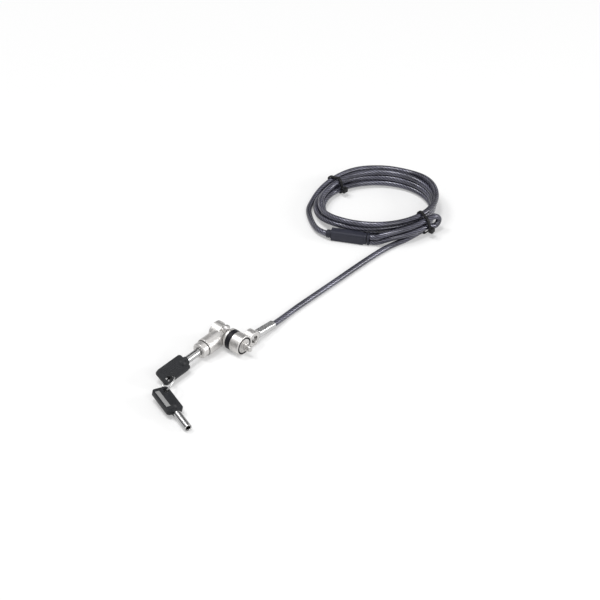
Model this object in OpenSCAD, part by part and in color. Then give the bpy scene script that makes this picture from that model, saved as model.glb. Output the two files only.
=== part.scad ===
// Laptop cable lock: T-shaped lock head with a pivoting tubular-key barrel,
// a swivelling cable eye, a vinyl-covered steel cable, two keys and a ring.
// Origin: centre of the collar's front face. +X out of the nose, +Y to the
// cable, +Z up. The table lies half a head diameter below the origin.

/* [Nose] */
// Outer diameter of the collar, grip ring, flange and cross barrel
head_d = 19; // [18:0.5:21]
// Length of the swivel collar
collar_len = 10.3; // [9.8:0.1:12]
// Diameter of the core that the collar turns on
core_d = 15.5; // [14.5:0.1:15.7]
// Height of the nose boss above the front face
boss_len = 3; // [2:0.1:3.6]
// Width of the nose boss across the slot
boss_w = 4.6; // [4:0.1:5.4]
// Length of the nose boss along the slot
boss_h = 8.4; // [7.6:0.1:9]
// Length of the two guard posts, one slot wall
post_len = 2.4; // [1.6:0.1:2.8]
// Length of the T-bar head along the security slot
tbar_h = 6.4; // [5.8:0.1:6.8]
// Width of the T-bar head across the security slot
tbar_w = 2.7; // [2.3:0.1:2.9]
// Thickness of the T-bar head
tbar_t = 2; // [1.4:0.1:2.4]
// Diameter of the T-bar shaft
shaft_d = 2.6; // [2.2:0.1:2.6]

/* [Grip ring and flange] */
// Length of the black grip ring
ring_len = 5; // [4:0.1:6]
// Bore of the black grip ring
ring_bore = 13; // [12:0.1:13.6]
// Thickness of the hinge flange
flange_t = 2.1; // [1.8:0.1:3]

/* [Cable eye] */
// Distance from the nose axis to the middle of the eye
eye_reach = 14.3; // [13.8:0.1:16]
// Outer radius of the eye
eye_r = 7.2; // [6.8:0.1:8]
// Diameter of the eye's hole
eye_hole_d = 7.6; // [7.2:0.1:8]
// Thickness of the eye
eye_t = 8.6; // [7.6:0.1:9]
// Angle by which the eye and the cable end dip below the horizontal
dip = 6.4; // [4:0.1:8]
// Diameter of the swivel stud's neck
stud_d = 3.5; // [3:0.1:3.8]
// Diameter of the swivel stud's head
stud_head_d = 6.2; // [5.4:0.1:6.4]
// Length of the ferrule's body
ferrule_len = 22; // [18:0.5:26]
// Width across the ferrule's flats
ferrule_w = 6.8; // [6.4:0.1:7.6]

/* [Hinge] */
// Radius of the hinge knuckles
knuckle_r = 3.2; // [2.8:0.1:3.6]
// Diameter of the hinge pin
pin_d = 3.0; // [2.4:0.1:3.2]
// Height of the tongue between the two ears
tongue_h = 9.2; // [7:0.2:10]
// Diameter of the hinge pin's head
pin_head_d = 6.6; // [5.6:0.1:7]
// Height of the hinge pin's head
pin_head_h = 3.0; // [2:0.1:3.4]

/* [Lock body] */
// Length of the cross barrel
cross_len = 12; // [11:0.5:15]
// Outer diameter of the key barrel
barrel_d = 16.6; // [16.4:0.1:16.8]
// Distance from the nose axis to the key barrel's rim
barrel_reach = 24.7; // [23.6:0.1:28]
// Drop of the key barrel's axis below the nose axis
barrel_drop = 1; // [0.6:0.1:1.1]
// Diameter of the sliding lock cylinder
cyl_d = 14.8; // [14.2:0.1:14.9]
// Length by which the unlocked cylinder stands out of the barrel
cyl_out = 6.8; // [5.5:0.1:7.5]
// Travel of the cylinder when it is pushed home
push_travel = 4; // [2.5:0.1:4.2]

/* [Lock core] */
// Number of pins in the lock
pins = 7; // [6:1:8]
// Diameter of a lock pin
pin_tiny_d = 1.0; // [0.8:0.05:1.1]
// Length of the rotor that carries the key pins
rotor_len = 4.5; // [4:0.1:5]
// Diameter of the post inside the key's tube
post_d = 4.4; // [4:0.1:4.5]
// Depth that the key enters the cylinder
key_depth = 3.6; // [3:0.1:4]

/* [Keys] */
// Outer diameter of a key's tube
tube_d = 7.0; // [6.8:0.05:7.1]
// Bore of a key's tube
tube_bore = 4.9; // [4.7:0.05:5.2]
// Length of a key's tube outside the bow
tube_len = 20.3; // [18:0.1:22]
// Length of a key's bow
bow_len = 33; // [31:0.5:34]
// Width of a key's bow
bow_w = 16; // [15.5:0.1:16.5]
// Thickness of a key's bow
bow_t = 4.2; // [3.8:0.1:4.2]
// Diameter of the ring hole in a bow
bow_hole_d = 5.2; // [5.2:0.1:5.6]
// Distance from the hole to the end of the bow
bow_hole_in = 4.6; // [4.4:0.1:4.8]
// Distance from the hole to the side of the bow
bow_hole_side = 3.9; // [3.8:0.1:4.1]
// Diameter of the thumb dimple near the shank
dimple_d = 6; // [5:0.1:6]
// Length of the plain panel on a bow
panel_len = 21; // [18:0.5:22]
// Width of the plain panel on a bow
panel_w = 4.2; // [3.5:0.1:4.6]

/* [Key ring] */
// Diameter of one wire of the split ring
ring_wire = 0.8; // [0.7:0.05:0.85]

/* [Cable] */
// Outside diameter of the vinyl-covered cable
cable_d = 5.5; // [5:0.1:5.6]
// Half of the oval coil's length at its first turn
coil_long = 51.5; // [50:0.5:53]
// Half of the oval coil's width at its first turn
coil_short = 40.5; // [39.5:0.5:42]
// Growth of the coil's radius in each turn
coil_grow = 1.2; // [0.8:0.1:1.6]
// Rise of the coil in each turn
coil_pitch = 5.9; // [5.9:0.1:6.4]

/* [Crimp cover and ties] */
// Length of the crimp cover's block
cover_len = 32; // [30:0.5:34]
// Width of the crimp cover
cover_w = 8.6; // [8:0.1:9]
// Height of the crimp cover
cover_h = 11.4; // [11.2:0.1:11.8]
// Length of the ribbed collar at the cable's end of the cover
cover_neck = 4.7; // [4:0.1:6]
// Length of the ring at the anchor loop's end of the cover
cover_ring = 4.3; // [3.5:0.1:5]
// Width of a cable tie
tie_w = 2.8; // [2.4:0.1:4]
// Thickness of a cable tie
tie_t = 1.1; // [0.9:0.1:1.4]

/* [Hidden] */
$fn = 64;

zinc = [0.80, 0.79, 0.77];
steel = [0.72, 0.72, 0.74];
brass = [0.80, 0.66, 0.36];
black = [0.09, 0.09, 0.10];
vinyl = [0.22, 0.22, 0.27];

table_z = -head_d / 2;
run = 0.05;          // radial clearance of a running fit
face_gap = 0.15;     // gap between faces that turn past each other
free_gap = 0.3;      // gap between pieces that only pass each other
eps = 0.01;

// Places along the nose axis, from the front face backwards
collar_back = -collar_len;
grip_front = collar_back - face_gap;
grip_back = grip_front - ring_len;
flange_front = grip_back - face_gap;
flange_back = flange_front - flange_t;
hinge_x = flange_back - knuckle_r - free_gap;
body_front = hinge_x - knuckle_r - free_gap;
cross_back = body_front - cross_len;
core_r = core_d / 2;
tbar_front = boss_len + post_len + face_gap;
pocket_r = 4.2;
pocket_front = -5.2;
tail_front = grip_back + 3.6;
tail_t = 1.5;
clip_x = -7;
clip_t = 1.0;
clip_out = core_r + 0.6;
clip_in = core_r - 0.7;

// Places along the dipped cable axis
eye_x = -0.2 - eye_t / 2;
eye_flat = eye_reach + 6.7;
ferrule_start = eye_flat + free_gap;
ferrule_end = ferrule_start + 1.2 + ferrule_len;

// Places along the key barrel's axis
key_x = flange_back - free_gap - barrel_d / 2;
key_z = -barrel_drop;
rim_y = -barrel_reach;
cyl_front = rim_y - cyl_out;
cyl_r = cyl_d / 2;
bore_end = -4.5;
cyl_back = -12.5;
cyl_bore = 5.25;
keyway_r = tube_d / 2 + 0.1;
rotor_front = cyl_front + key_depth;
rotor_back = rotor_front + rotor_len;
driver_front = rotor_back + 0.1;
driver_back = cyl_back - 0.2;
driver_end = driver_front + 3;
spring_end = driver_end + 3.9;
pin_circle = (tube_d + tube_bore) / 4;
cuts = [0.3, 0.6, 0.4, 0.8, 0.3, 0.7, 0.5, 0.6];
tail_r = 1.45;

// Pose of each key in the lock and of the spare on the ring
bow_back = cyl_front + key_depth - tube_len;
key_roll = 32;
spare_turn = [188.1, -5.4, 161.3];
hole_x = bow_len - bow_hole_in;
hole_y = bow_w / 2 - bow_hole_side;
bow_nose = 1.8;
shank_in = 1;         // how far a shank's round tube reaches into its bow
dimple_deep = 0.9;
dimple_r = (dimple_d * dimple_d / 4 + dimple_deep * dimple_deep) / (2 * dimple_deep);
panel_deep = 0.4;

// Pose of the key ring, and where it passes the spare key's hole
ring_at = [-16.83, bow_back - hole_x - 6.6, -1.55];
ring_tilt = 49.1;
ring_yaw = 211.2;
ring_r = 9.5;
spare_hole = ring_at + [5, -8.1, 0];

// Places of the cable
cable_r = cable_d / 2;
cable_z = table_z + cable_r + 0.02;
coil_c = [-44, 240];
coil_axis = 42;       // bearing of the oval's long axis
coil_turns = 3.5;
start_b = 30;         // bearing at which the coil begins
step_a = 1085;        // turn at which the last loop starts to move outside the others
step_out = 5.2;       // how far it moves out there
sink_a = 1105;        // turn at which it starts to sink beside them
sink_turns = 1.2;     // how many turns' height it sinks there
drop_a = 1190;        // turn at which it starts to come down to the table
drop_out = 3;         // how far it moves out once more there
side_a = 185;         // turn at which the coil passes its far side
side_out = 5.4;       // how far the second turn lies outside the others there
facets = 6;
ring_step = 15;       // angle between two rings of the coil
strap_gap = 0.6;      // gap between a tie and the cables in it
front_b = -3;         // bearings of the two ties
back_b = 174;
cover_turn = 27.5;
cover_at = [-36, 187.2];
neck_r = 4.1;
sleeve_r = 3.4;

// ---------- helpers ----------
function unit(v) = v / norm(v);
function smooth(t) = let (u = min(max(t, 0), 1)) u * u * (3 - 2 * u);
function side_of(p, i) =
  unit(p[min(i + 1, len(p) - 1)] - p[max(i - 1, 0)]);

// A closed tube of n sides swept along the points p; ref is never along the path
module tube(p, r, n, ref = [0, 0, 1]) {
  rings = [
    for (i = [0 : len(p) - 1])
      let (t = side_of(p, i), s = unit(cross(t, ref)), v = cross(s, t))
        for (k = [0 : n - 1])
          p[i] + r * (cos(360 * (k + 0.5) / n) * s + sin(360 * (k + 0.5) / n) * v)
  ];
  last = (len(p) - 1) * n;
  polyhedron(
    points = rings,
    faces = concat(
      [[for (k = [0 : n - 1]) n - 1 - k]],
      [[for (k = [0 : n - 1]) last + k]],
      [for (i = [0 : len(p) - 2], k = [0 : n - 1], half = [0, 1])
        half == 0 ? [i * n + k, i * n + (k + 1) % n, (i + 1) * n + k]
                  : [i * n + (k + 1) % n, (i + 1) * n + (k + 1) % n, (i + 1) * n + k]]
    )
  );
}

module x_cyl(r, x0, x1, r2 = undef) {
  translate([x0, 0, 0]) rotate([0, 90, 0])
    cylinder(h = x1 - x0, r1 = r, r2 = is_undef(r2) ? r : r2);
}

module key_axis() {
  translate([key_x, 0, key_z]) children();
}

module y_cyl(r, y0, y1, r2 = undef) {
  translate([0, y0, 0]) rotate([-90, 0, 0])
    cylinder(h = y1 - y0, r1 = r, r2 = is_undef(r2) ? r : r2);
}

module cable_axis() {
  translate([eye_x, 0, 0]) rotate([-dip, 0, 0]) children();
}

// Points of a spring of n turns from y0 to y1 with closed end turns
function spring_points(r, y0, y1, n, rings = 8) = [
  for (i = [0 : n * rings])
    let (a = 360 * i / rings)
      [r * cos(a), y0 + (y1 - y0) * i / (n * rings), r * sin(a)]
];

// ---------- nose ----------
module nose_core() {
  color(zinc)
    difference() {
      union() {
        x_cyl(core_r, collar_back, -0.4);
        x_cyl(core_r, -0.4, 0, core_r - 0.4);
        x_cyl(ring_bore / 2, grip_back, collar_back);
        translate([-1, -boss_w / 2, -(boss_h - boss_w) / 2])
          cube([1 + boss_len, boss_w, boss_h - boss_w]);
        for (s = [-1, 1])
          translate([0, 0, s * (boss_h - boss_w) / 2]) x_cyl(boss_w / 2, -1, boss_len);
        for (s = [-1, 1])
          translate([boss_len - 1, -tbar_w / 2, s > 0 ? shaft_d / 2 + 0.35 : -tbar_h / 2])
            cube([1 + post_len, tbar_w, tbar_h / 2 - shaft_d / 2 - 0.35]);
      }
      x_cyl(shaft_d / 2 + run, pocket_front - 1, boss_len + 1);
      x_cyl(pocket_r, grip_back - 1, pocket_front);
      rotate([0, 90, 0]) translate([0, 0, clip_x])
        difference() {
          cylinder(h = clip_t + 0.1, r = core_r + 1);
          translate([0, 0, -1]) cylinder(h = clip_t + 3, r = clip_in);
        }
    }
}

module t_bar() {
  color(steel) {
    x_cyl(shaft_d / 2, flange_front - 1, tbar_front + eps);
    x_cyl(pocket_r - 0.3, tail_front - tail_t, tail_front);
    intersection() {
      translate([tbar_front, -tbar_w / 2, -tbar_h / 2]) cube([tbar_t, tbar_w, tbar_h]);
      x_cyl(tbar_h / 2 + 0.1, tbar_front - 1, tbar_front + tbar_t + 1, tbar_h / 2 - 0.6);
    }
  }
}

module tbar_spring() {
  color(steel)
    rotate([0, 0, -90])
      tube(spring_points(2.3, tail_front + 0.7, pocket_front - 0.7, 4), 0.4, 6, [0, 1, 0]);
}

module grip_ring() {
  color(black)
    difference() {
      union() {
        x_cyl(head_d / 2 - 0.3, grip_back, grip_back + 0.3, head_d / 2);
        x_cyl(head_d / 2, grip_back + 0.3, grip_front - 0.3);
        x_cyl(head_d / 2, grip_front - 0.3, grip_front, head_d / 2 - 0.3);
      }
      x_cyl(ring_bore / 2, grip_back - 1, grip_front + 1);
    }
}

module collar_clip() {
  color(steel)
    difference() {
      x_cyl(clip_out, clip_x + 0.05, clip_x + clip_t);
      x_cyl(clip_in + eps, clip_x - 1, clip_x + clip_t + 1);
      translate([clip_x - 1, -1.2, 0]) cube([clip_t + 2, 2.4, core_d]);
    }
}

module swivel_collar() {
  color(zinc)
    rotate([-dip, 0, 0])
      difference() {
        union() {
          x_cyl(head_d / 2 - 0.3, collar_back, collar_back + 0.3, head_d / 2);
          x_cyl(head_d / 2, collar_back + 0.3, -0.5);
          x_cyl(head_d / 2, -0.5, 0, head_d / 2 - 0.5);
          translate([0, eye_reach, 0]) {
            x_cyl(eye_r - 0.4, eye_x - eye_t / 2, eye_x - eye_t / 2 + 0.4, eye_r);
            x_cyl(eye_r, eye_x - eye_t / 2 + 0.4, eye_x + eye_t / 2 - 0.4);
            x_cyl(eye_r, eye_x + eye_t / 2 - 0.4, eye_x + eye_t / 2, eye_r - 0.4);
          }
        }
        x_cyl(core_r + run, collar_back - 1, 1);
        x_cyl(core_r + run, -0.4, 0 + eps, core_r + 0.4);
        x_cyl(clip_out + run, clip_x - 0.05, clip_x + clip_t + 0.1);
        translate([0, eye_reach, 0]) x_cyl(eye_hole_d / 2, -eye_t - 1, 1);
        translate([eye_x, 0, 0]) y_cyl(stud_d / 2 + run, eye_reach, eye_reach + eye_r + 1);
        translate([-eye_t - 2, eye_flat, -eye_r]) cube([eye_t + 4, eye_r, 2 * eye_r]);
      }
}

module swivel_stud() {
  color(steel)
    cable_axis() {
      y_cyl(stud_head_d / 2 - 0.9, eye_reach - 1.6, eye_reach - 0.8, stud_head_d / 2 - 0.1);
      y_cyl(stud_head_d / 2 - 0.1, eye_reach - 0.8, eye_reach + 0.6, stud_head_d / 2);
      y_cyl(stud_head_d / 2, eye_reach + 0.6, eye_reach + 2.2, stud_d / 2 + 0.2);
      y_cyl(stud_d / 2, eye_reach, ferrule_start + 4);
    }
}

module ferrule() {
  color(steel)
    cable_axis()
      difference() {
        union() {
          y_cyl(ferrule_w / 2 - 0.3, ferrule_start, ferrule_start + 1.3);
          intersection() {
            translate([-ferrule_w / 2, ferrule_start + 1.2, -ferrule_w / 2])
              cube([ferrule_w, ferrule_len, ferrule_w]);
            union() {
              y_cyl(ferrule_w / 2, ferrule_start + 1.2, ferrule_start + 2, ferrule_w / 2 + 0.8);
              y_cyl(ferrule_w / 2 + 0.8, ferrule_start + 2, ferrule_end - 0.8);
              y_cyl(ferrule_w / 2 + 0.8, ferrule_end - 0.8, ferrule_end, ferrule_w / 2);
            }
          }
        }
        y_cyl(stud_d / 2, ferrule_start - 1, ferrule_start + 4);
      }
}

// ---------- hinge ----------
module pivot_block() {
  color(zinc)
    difference() {
      union() {
        x_cyl(head_d / 2 - 0.3, flange_back, flange_back + 0.3, head_d / 2);
        x_cyl(head_d / 2, flange_back + 0.3, flange_front - 0.3);
        x_cyl(head_d / 2, flange_front - 0.3, flange_front, head_d / 2 - 0.3);
        translate([hinge_x, -knuckle_r, -tongue_h / 2])
          cube([flange_front - hinge_x - 0.5, 2 * knuckle_r, tongue_h]);
        translate([hinge_x, 0, -tongue_h / 2]) cylinder(h = tongue_h, r = knuckle_r);
      }
      translate([hinge_x, 0, -tongue_h]) cylinder(h = 2 * tongue_h, r = pin_d / 2);
      x_cyl(shaft_d / 2, flange_front - 1, flange_front + 1);
    }
}

module hinge_pin() {
  head_z = head_d / 2 - 0.5;
  color(steel)
    translate([hinge_x, 0, 0]) {
      translate([0, 0, -head_d / 2 + 0.6]) cylinder(h = head_d - 1, r = pin_d / 2);
      intersection() {
        translate([0, 0, head_z + 0.05]) cylinder(h = pin_head_h, r = pin_head_d / 2);
        translate([0, 0, head_z + pin_head_h - 4.4]) sphere(r = 4.4);
      }
    }
}

module ear(z0, z1) {
  intersection() {
    union() {
      translate([hinge_x, 0, z0]) cylinder(h = z1 - z0, r = knuckle_r);
      translate([body_front - 1, -knuckle_r, z0])
        cube([hinge_x - body_front + 1, 2 * knuckle_r, z1 - z0]);
    }
    x_cyl(head_d / 2 - 0.2, body_front - 2, flange_back);
  }
}

module lock_body() {
  swing = knuckle_r + free_gap - 0.1;
  dome_r = 14;
  color(zinc)
    difference() {
      union() {
        difference() {
          union() {
            intersection() {
              x_cyl(head_d / 2, cross_back, body_front);
              translate([cross_back + dome_r - 1.6, 0, 0]) sphere(r = dome_r, $fn = 96);
            }
            key_axis() {
              y_cyl(barrel_d / 2 - 0.5, rim_y, rim_y + 0.5, barrel_d / 2);
              y_cyl(barrel_d / 2, rim_y + 0.5, 0);
            }
          }
          translate([body_front, -swing, -head_d])
            cube([head_d, head_d, 2 * head_d]);
          translate([hinge_x - head_d / 2 - free_gap, swing, -head_d])
            cube([2 * head_d, head_d, 2 * head_d]);
        }
        ear(tongue_h / 2 + face_gap, head_d / 2);
        ear(-head_d / 2, -tongue_h / 2 - face_gap);
      }
      translate([hinge_x, 0, -head_d]) cylinder(h = 2 * head_d, r = pin_d / 2 + run);
      translate([hinge_x, 0, head_d / 2 - 0.5]) cylinder(h = 2, r = knuckle_r + 1);
      key_axis() {
        y_cyl(cyl_r + run, rim_y - 1, bore_end);
        y_cyl(cyl_r + 0.45, rim_y - eps, rim_y + 0.4, cyl_r + run);
      }
    }
}

// ---------- lock cylinder ----------
module lock_cylinder() {
  color(zinc)
    key_axis()
      difference() {
        union() {
          y_cyl(cyl_r - 1, cyl_front, cyl_front + 1, cyl_r);
          y_cyl(cyl_r, cyl_front + 1, cyl_back);
        }
        y_cyl(keyway_r, cyl_front - 1, rotor_front);
        y_cyl(keyway_r + 0.5, cyl_front - eps, cyl_front + 0.5, keyway_r);
        y_cyl(cyl_bore, rotor_front, cyl_back + 1);
        translate([0, driver_back - 4, 0]) cylinder(h = cyl_d, r = 0.8);
      }
}

module around_pins() {
  for (i = [0 : pins - 1])
    rotate([0, key_roll - 360 * i / pins, 0]) translate([pin_circle, 0, 0]) children();
}

module rotor() {
  color(brass)
    key_axis()
      difference() {
        union() {
          y_cyl(cyl_bore - run, rotor_front + 0.1, rotor_back);
          y_cyl(post_d / 2, cyl_front + 0.3, rotor_front + 1);
          y_cyl(tail_r, rotor_back - 1, cyl_back + 1.6);
        }
        around_pins() y_cyl(pin_tiny_d / 2 + run, rotor_front - 1, rotor_back + 1);
        rotate([0, key_roll, 0])
          translate([-0.6, cyl_front, post_d / 2 - 0.6]) cube([1.2, key_depth + 0.04, 2]);
      }
}

module driver_block() {
  color(brass)
    key_axis()
      difference() {
        y_cyl(cyl_bore, driver_front, driver_back);
        y_cyl(tail_r + run, driver_front - 1, driver_back + 1);
        around_pins() y_cyl(pin_tiny_d / 2 + run, driver_front - 1, spring_end);
        translate([0, driver_back - 4, 3.9]) cylinder(h = cyl_d, r = 0.8);
      }
}

module key_pins() {
  color(steel)
    key_axis()
      for (i = [0 : pins - 1])
        rotate([0, key_roll - 360 * i / pins, 0]) translate([pin_circle, 0, 0])
          y_cyl(pin_tiny_d / 2, rotor_front + 0.1 + cuts[i], rotor_back);
}

module driver_pins() {
  color(brass) key_axis() around_pins() y_cyl(pin_tiny_d / 2, driver_front, driver_end);
}

module pin_springs() {
  r = pin_tiny_d / 2 - 0.15;
  color(steel)
    key_axis() around_pins()
      tube(spring_points(r, driver_end + 0.2, spring_end - 0.2, 4, 6), 0.12, 4, [0, 1, 0]);
}

module retaining_pin() {
  color(steel)
    key_axis()
      translate([0, driver_back - 4, 3.9]) cylinder(h = cyl_r - 3.9 - 0.2, r = 0.8);
}

module drive_cam() {
  color(steel)
    key_axis()
      difference() {
        union() {
          y_cyl(3.4, cyl_back, cyl_back + 1.6);
          translate([0, cyl_back, -1.3]) cube([4.4, 1.6, 2.6]);
        }
        y_cyl(tail_r, cyl_back - 1, cyl_back + 3);
      }
}

module return_spring() {
  color(steel)
    key_axis()
      tube(spring_points(6.2, cyl_back + 0.7, bore_end - 0.7, 3), 0.5, 6, [0, 1, 0]);
}

// ---------- keys: +X from the tip to the ring end, faces along Z ----------
module key_place() {
  translate([key_x, bow_back, key_z]) rotate([0, key_roll, 0]) rotate([0, 0, -90]) children();
}

module spare_place() {
  translate(spare_hole) rotate(spare_turn) translate([-hole_x, -hole_y, 0]) children();
}

// The flat end of a shank that the bow is moulded on
module tang() {
  translate([shank_in - 0.5, -2.8, -1]) cube([3.5, 5.6, 2]);
}

module shank_solid() {
  color(steel)
    difference() {
      union() {
        x_cyl(tube_d / 2, -tube_len, shank_in);
        tang();
      }
      x_cyl(tube_bore / 2, -tube_len - 1, -tube_len + 9);
      for (i = [0 : pins - 1])
        rotate([360 * i / pins, 0, 0])
          translate([-tube_len - 1, pin_circle, 0]) x_cyl(0.55, 0, 1.2 + cuts[i] * 0.5);
    }
  color(steel)
    translate([-tube_len, -0.5, tube_bore / 2 - 0.5]) cube([1.6, 1, 0.6]);
}

module bow_solid() {
  corner = 3;
  color(black)
    difference() {
      union() {
        translate([bow_nose + corner, -bow_w / 2, -bow_t / 2])
          cube([bow_len - bow_nose - 2 * corner, bow_w, bow_t]);
        translate([bow_nose, -bow_w / 2 + corner, -bow_t / 2])
          cube([bow_len - bow_nose, bow_w - 2 * corner, bow_t]);
        for (x = [bow_nose + corner, bow_len - corner], s = [-1, 1])
          translate([x, s * (bow_w / 2 - corner), -bow_t / 2]) cylinder(h = bow_t, r = corner);
        translate([5.4, 0, -bow_t / 2]) cylinder(h = bow_t, r = 5.4);
        x_cyl(tube_d / 2 + 0.5, 0, 6.5, tube_d / 2 - 1.6);
      }
      x_cyl(tube_d / 2, -1, shank_in);
      tang();
      translate([hole_x, hole_y, -bow_t]) cylinder(h = 2 * bow_t, d = bow_hole_d);
      for (s = [-1, 1])
        translate([6.2, 0, s * (bow_t / 2 - dimple_deep + dimple_r)]) sphere(r = dimple_r);
      panel_block(0);
    }
}

module panel_block(inset) {
  translate([bow_len - 3.4 - panel_len + inset, -bow_w / 2 + 1.9 + inset, -bow_t / 2 - (inset > 0 ? 0 : 1)])
    cube([panel_len - 2 * inset, panel_w - 2 * inset, panel_deep + (inset > 0 ? 0 : 1)]);
}

module key_shank() {
  key_place() shank_solid();
}

module key_bow() {
  key_place() bow_solid();
}

module key_panel() {
  color("silver") key_place() panel_block(0.05);
}

module spare_shank() {
  spare_place() shank_solid();
}

module spare_bow() {
  spare_place() bow_solid();
}

module spare_panel() {
  color("silver") spare_place() panel_block(0.05);
}

module key_ring() {
  color(steel)
    translate(ring_at) rotate([0, ring_tilt, ring_yaw])
      for (s = [-1, 1])
        translate([0, 0, s * ring_wire * 0.42])
          rotate_extrude($fn = 96) translate([ring_r, 0]) circle(d = ring_wire, $fn = 24);
}

// ---------- cable ----------
end_a = 360 * coil_turns;
// A point of the oval, its radii grown by g, at bearing b and height z
function oval(b, g, z) =
  let (u = (coil_long + g) * cos(b - coil_axis), v = (coil_short + g) * sin(b - coil_axis))
    [coil_c[0] + u * cos(coil_axis) - v * sin(coil_axis),
     coil_c[1] + u * sin(coil_axis) + v * cos(coil_axis), z];
// The share, from 0 to 1, of the far side's bulge at turn a of the coil's turn n
function bulge(a, n, span) = smooth(1 - abs(a - side_a - 360 * n) / span);
function coil_height(a) =
  let (down = smooth((a - drop_a) / (end_a - drop_a)),
       sunk = sink_turns * smooth((a - sink_a) / 85))
    cable_z + coil_pitch * (a / 360 - sunk - bulge(a, 1, 70) - bulge(a, 2, 70)) * (1 - down);
function coil_wide(a) =
  coil_grow * a / 360 + side_out * bulge(a, 1, 110)
    + step_out * smooth((a - step_a) / 80) + drop_out * smooth((a - drop_a + 10) / 60);
function coil_point(a) = oval(start_b + a, coil_wide(a), coil_height(a));
coil_steps = floor(end_a / ring_step);
coil_core = [for (i = [0 : coil_steps]) coil_point(end_a * i / coil_steps)];
coil_start = unit([coil_core[1][0] - coil_core[0][0], coil_core[1][1] - coil_core[0][1], 0]);
coil_in = coil_core[0] - cable_d * coil_start;
coil_heading = unit([coil_core[coil_steps][0] - coil_core[coil_steps - 1][0],
                     coil_core[coil_steps][1] - coil_core[coil_steps - 1][1], 0]);
coil_out = coil_core[coil_steps] + cable_d * coil_heading;
coil_path = concat([coil_in], coil_core, [coil_out]);

// Least distance between stretches of a path that are far apart along it
function near_gap(p, skip) = min([
  for (i = [0 : len(p) - 1 - skip], j = [i + skip : len(p) - 1]) norm(p[i] - p[j])
]) - cable_d;
coil_fine = [for (a = [0 : 3 : end_a]) coil_point(a)];

// The frame of a tie at bearing b: +X out of the coil, +Y along the cables
function tie_at(b) = oval(b, 0, 0);
function tie_to(b, x, y, z) =
  tie_at(b) + x * [cos(b), sin(b), 0] + y * [-sin(b), cos(b), 0] + [0, 0, z];
// The places, out of the coil and up, at which turns 1 to n pass a tie
function tie_turns(b, n) = [
  for (i = [0 : n - 1])
    let (a = (b - start_b + 720) % 360 + 360 * i) [coil_wide(a), coil_height(a)]
];
lead_place = [7.2, table_z + tie_t + strap_gap + cable_r + 0.05];
low_place = [11.3, lead_place[1] + 5.2];
high_place = [9.2, low_place[1] + 6.5];

lead_start = [eye_x, ferrule_end * cos(dip), -ferrule_end * sin(dip)];
lead_points = [
  lead_start,
  lead_start + cable_d * [0, cos(dip), -sin(dip)],
  [-5.2, 60, cable_z + 0.3],
  [-5.6, 73, cable_z],
  [-5.3, 87, cable_z],
  [-4.8, 101, cable_z],
  [-4.3, 115, cable_z],
  [-3.8, 129, cable_z],
  [-3.4, 143, cable_z],
  [-3.0, 157, cable_z],
  [-2.4, 171, cable_z],
  [-1.6, 185, cable_z],
  [-0.4, 198, cable_z],
  [2.0, 210, cable_z],
  [5.6, 220, cable_z + 0.3],
  tie_to(front_b, 6.6, -12, lead_place[1]),
  tie_to(front_b, lead_place[0] + 0.3, -4, lead_place[1]),
  tie_to(front_b, lead_place[0] - 0.6, 3, lead_place[1]),
  coil_in - cable_d * coil_start,
  coil_in
];

module cable_lead() {
  color(vinyl) tube(lead_points, cable_r, 8);
}

module cable_coil() {
  echo(coil_self_gap_mm = near_gap(coil_fine, 20));
  color(vinyl) tube(coil_path, cable_r, facets);
}

// The crimp cover's own frame: +X along it, on the table
module cover_frame() {
  translate([cover_at[0], cover_at[1], table_z]) rotate([0, 0, cover_turn]) children();
}
function cover_to(p) = [
  cover_at[0] + p[0] * cos(cover_turn) - p[1] * sin(cover_turn),
  cover_at[1] + p[0] * sin(cover_turn) + p[1] * cos(cover_turn),
  table_z + p[2]
];
neck_end = -cover_len / 2 - cover_neck;
ring_end = cover_len / 2 + cover_ring;
strand_low = cable_r + 0.15;
strand_high = cover_h - cable_r - 0.15;
tail_points = [
  coil_out,
  coil_out + cable_r * coil_heading,
  [-91.8, 194.8, cable_z],
  [-87.6, 191.2, cable_z],
  [-82.3, 187.0, cable_z],
  [-76.2, 182.9, cable_z + 0.3],
  [-69.9, 179.3, cable_z + 1.0],
  [-64.3, 176.7, cable_z + 2.0],
  cover_to([neck_end - cable_r, 0, cover_h / 2]),
  cover_to([neck_end, 0, cover_h / 2])
];

module cable_tail() {
  color(vinyl) tube(tail_points, cable_r, 8);
}

loop_points = [
  cover_to([ring_end, 0, strand_high]),
  cover_to([ring_end + cable_d, 0, strand_high]),
  tie_to(front_b, -9.5, -41.4, 2.6),
  tie_to(front_b, -4.1, -33.8, 5.0),
  tie_to(front_b, 2.0, -24.3, 6.1),
  tie_to(front_b, 6.4, -14.7, high_place[1] - 0.2),
  tie_to(front_b, 8.4, -5, high_place[1]),
  tie_to(front_b, high_place[0] + 0.2, 1, high_place[1] + 0.2),
  tie_to(front_b, 10.2, 5, high_place[1] + 0.2),
  tie_to(front_b, 11.2, 9.4, 7.0),
  tie_to(front_b, 12.3, 13.3, 5.2),
  tie_to(front_b, 13.1, 15.0, 2.4),
  tie_to(front_b, 13.5, 13.6, -0.6),
  tie_to(front_b, 13.3, 9.6, -2.8),
  tie_to(front_b, 12.0, 4.8, -1.4),
  tie_to(front_b, low_place[0], 0.5, low_place[1] - 0.2),
  tie_to(front_b, 10, -7, low_place[1] + 0.3),
  tie_to(front_b, 8.0, -14.8, 0.4),
  tie_to(front_b, 3.4, -24.5, 0.0),
  tie_to(front_b, -2.7, -34.0, -0.7),
  tie_to(front_b, -8.5, -40.5, -3.4),
  cover_to([ring_end + cable_d, 0, strand_low]),
  cover_to([ring_end, 0, strand_low])
];

module anchor_loop() {
  color(vinyl) tube(loop_points, cable_r, 8, [0.9, -0.43, 0]);
}

module crimp_sleeve() {
  color(steel)
    cover_frame() translate([0, 0, cover_h / 2]) x_cyl(sleeve_r, -cover_len / 3, cover_len / 3);
}

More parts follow.
